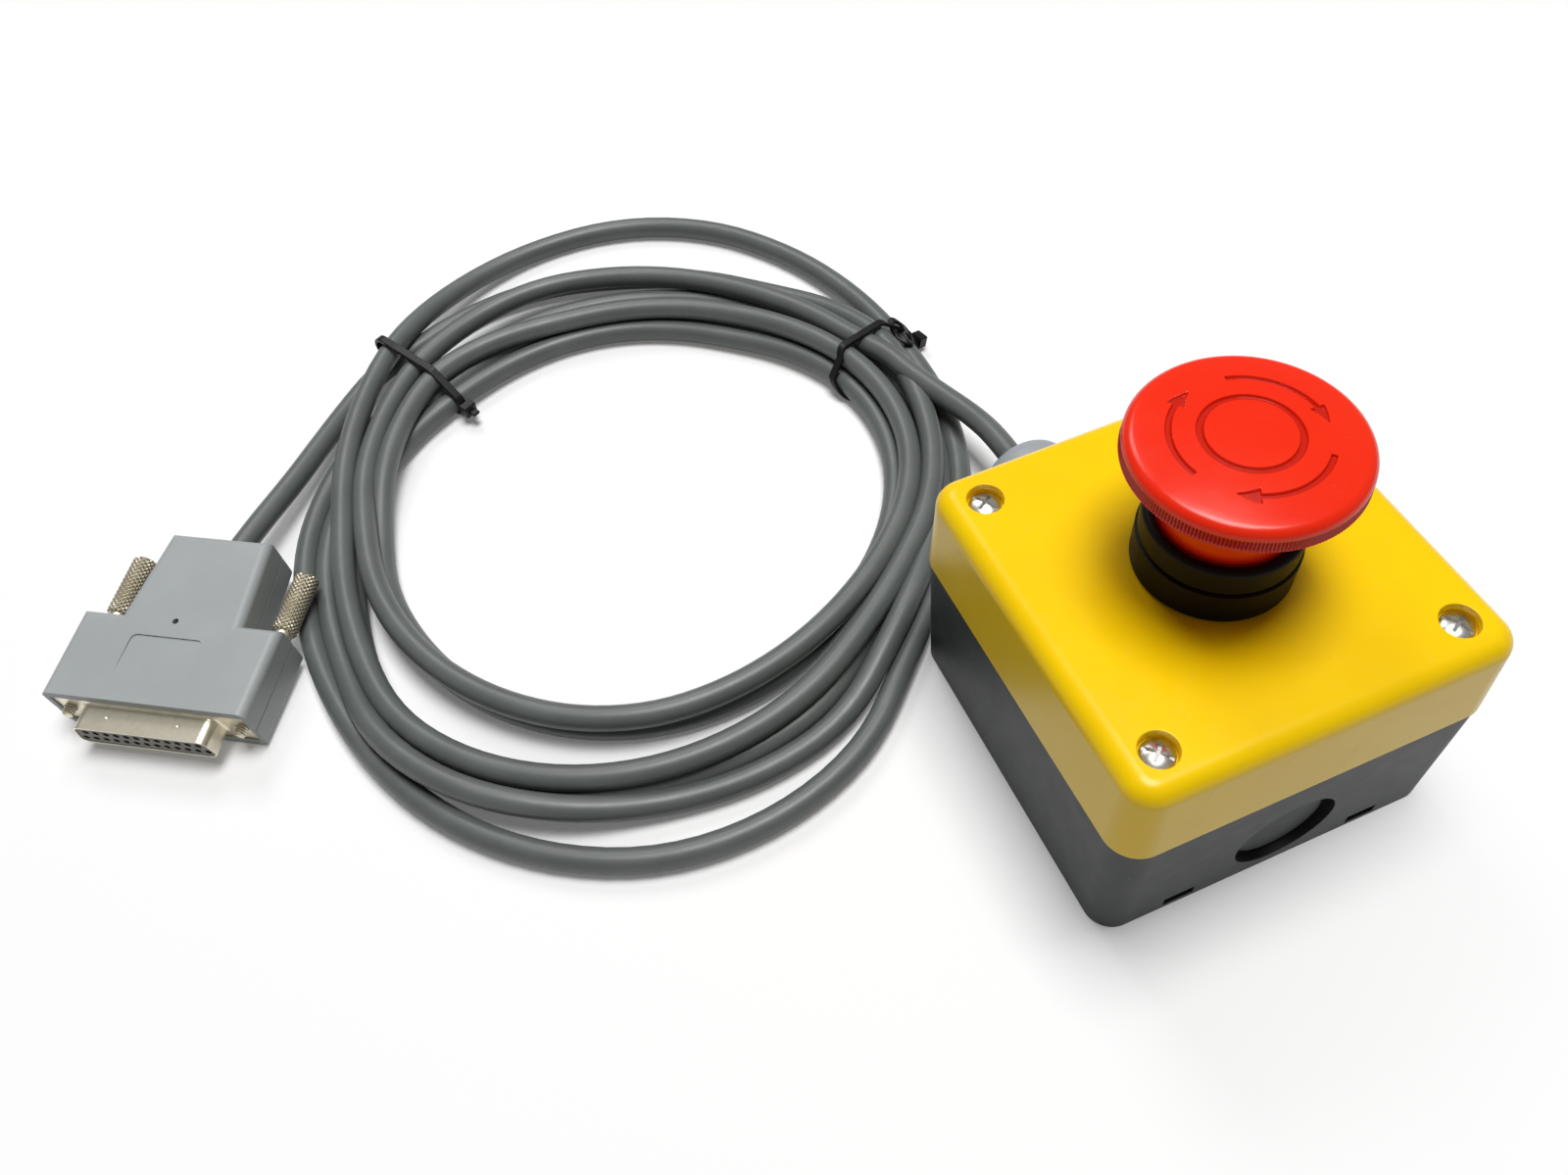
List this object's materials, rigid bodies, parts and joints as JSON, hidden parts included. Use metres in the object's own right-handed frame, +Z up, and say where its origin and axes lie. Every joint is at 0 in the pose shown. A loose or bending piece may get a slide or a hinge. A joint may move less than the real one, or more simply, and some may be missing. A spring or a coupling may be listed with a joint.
{
  "type": "emergency stop push button",
  "caption": "Emergency stop station: red twist-release mushroom button on a yellow-lidded grey box, with a coiled cable from a gland to a hooded D connector",
  "frame": {"origin": "middle of the enclosure's underside, on the surface it stands on", "axes": "+Z up along the button's travel, +Y the way the cable leaves the enclosure through its gland, -Y the face with the blind cable entry, +X to the right seen from that face"},
  "size_m": [0.295, 0.2849, 0.0974],
  "materials": {
    "yellow_cover": "gloss",
    "grey_base": "satin",
    "red_head": "satin",
    "black_plastic": "satin",
    "gland_grey": "satin",
    "rubber": "matte",
    "spring_steel": "bright",
    "zinc_steel": "bright zinc",
    "nickel": "bright nickel",
    "brass": "bright",
    "block_plastic": "matte",
    "insulator": "matte",
    "cable_jacket": "matte",
    "hood_grey": "fine texture",
    "nylon_tie": "satin"
  },
  "bodies": {
    "station": {"base_housing": "grey_base", "cable_clamp": "zinc_steel", "cable_coil": "cable_jacket", "cable_lead_box": "cable_jacket", "cable_lead_plug": "cable_jacket", "cable_tail": "cable_jacket", "cable_tie_left": "nylon_tie", "cable_tie_right": "nylon_tie", "clamp_screw_left": "zinc_steel", "clamp_screw_right": "zinc_steel", "contact_block_left": "block_plastic", "contact_block_right": "block_plastic", "contact_carrier": "black_plastic", "contact_spring_left": "spring_steel", "contact_spring_right": "spring_steel", "cover": "yellow_cover", "cover_gasket": "rubber", "cover_screw_front_left": "zinc_steel", "cover_screw_front_right": "zinc_steel", "cover_screw_rear_left": "zinc_steel", "cover_screw_rear_right": "zinc_steel", "fixed_contact_front_left": "brass", "fixed_contact_front_right": "brass", "fixed_contact_rear_left": "brass", "fixed_contact_rear_right": "brass", "gland_body": "gland_grey", "gland_dome_nut": "gland_grey", "gland_locknut": "gland_grey", "gland_seal": "rubber", "hood_lower": "hood_grey", "hood_upper": "hood_grey", "latch_clip": "spring_steel", "operator_body": "black_plastic", "panel_nut": "black_plastic", "panel_seal": "rubber", "return_spring": "spring_steel", "socket_contacts": "brass", "socket_insulator": "insulator", "socket_rear_shell": "nickel", "socket_shell": "nickel", "terminal_screw_front_left": "zinc_steel", "terminal_screw_front_right": "zinc_steel", "terminal_screw_rear_left": "zinc_steel", "terminal_screw_rear_right": "zinc_steel"},
    "plunger": {"plunger": "black_plastic", "head_clip": "spring_steel"},
    "head": {"mushroom_head": "red_head"},
    "contact_left": {"contact_plunger_left": "block_plastic", "contact_bridge_left": "brass"},
    "contact_right": {"contact_plunger_right": "block_plastic", "contact_bridge_right": "brass"},
    "thumbscrew_left": {"thumbscrew_left": "nickel"},
    "thumbscrew_right": {"thumbscrew_right": "nickel"}
  },
  "joints": [
    {"name": "button_press", "type": "slide", "parent": "station", "child": "plunger", "axis": [0, 0, -1], "range_m": [0, 0.0055], "stiffness_N_per_m": 3000, "springref_m": -0.004, "deforming": ["return_spring"]},
    {"name": "head_twist", "type": "hinge", "parent": "plunger", "child": "head", "pos_m": [0, 0, 0.09], "axis": [0, 0, -1], "range_deg": [0, 45], "stiffness_Nm_per_rad": 0.05},
    {"name": "contact_push_left", "type": "slide", "parent": "station", "child": "contact_left", "axis": [0, 0, -1], "range_m": [0, 0.0055], "deforming": ["contact_spring_left"]},
    {"name": "contact_push_right", "type": "slide", "parent": "station", "child": "contact_right", "axis": [0, 0, -1], "range_m": [0, 0.0055], "deforming": ["contact_spring_right"]},
    {"name": "thumbscrew_turn_left", "type": "hinge", "parent": "station", "child": "thumbscrew_left", "pos_m": [-0.23154, 0.1361, 0.00976], "axis": [0.5329, 0.8443, 0.0558], "continuous": true},
    {"name": "thumbscrew_turn_right", "type": "hinge", "parent": "station", "child": "thumbscrew_right", "pos_m": [-0.19176, 0.11099, 0.00976], "axis": [0.5329, 0.8443, 0.0558], "continuous": true}
  ],
  "couplings": [
    {"joint": "contact_push_left", "follows": "button_press", "ratio": 1},
    {"joint": "contact_push_right", "follows": "button_press", "ratio": 1}
  ]
}
